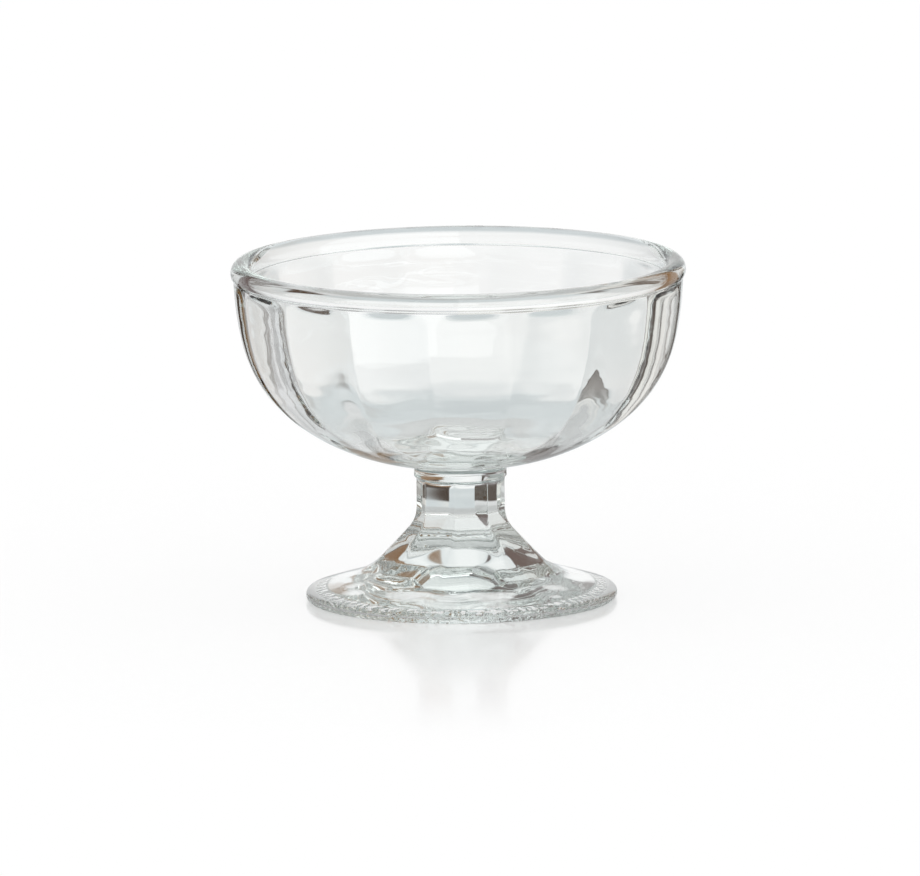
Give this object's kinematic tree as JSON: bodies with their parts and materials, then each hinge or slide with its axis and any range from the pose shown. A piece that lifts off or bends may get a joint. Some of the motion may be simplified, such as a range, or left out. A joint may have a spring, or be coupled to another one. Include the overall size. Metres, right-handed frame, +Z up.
{
  "type": "ice cream cup",
  "caption": "Footed ice cream cup in clear pressed glass: round bowl with upright panels inside and a beaded rim, on a short flat-sided stem and a flared round foot.",
  "frame": {"origin": "centre of the ring that the foot rests on, at the level of the table", "axes": "+Z up along the axis of the cup, with the middle of one panel of the bowl on the -Y side"},
  "size_m": [0.11, 0.11, 0.0828],
  "materials": {
    "clear_glass": "smooth, fire-polished pressed glass"
  },
  "bodies": {
    "root": {"ice_cream_cup": "clear_glass"}
  },
  "joints": []
}
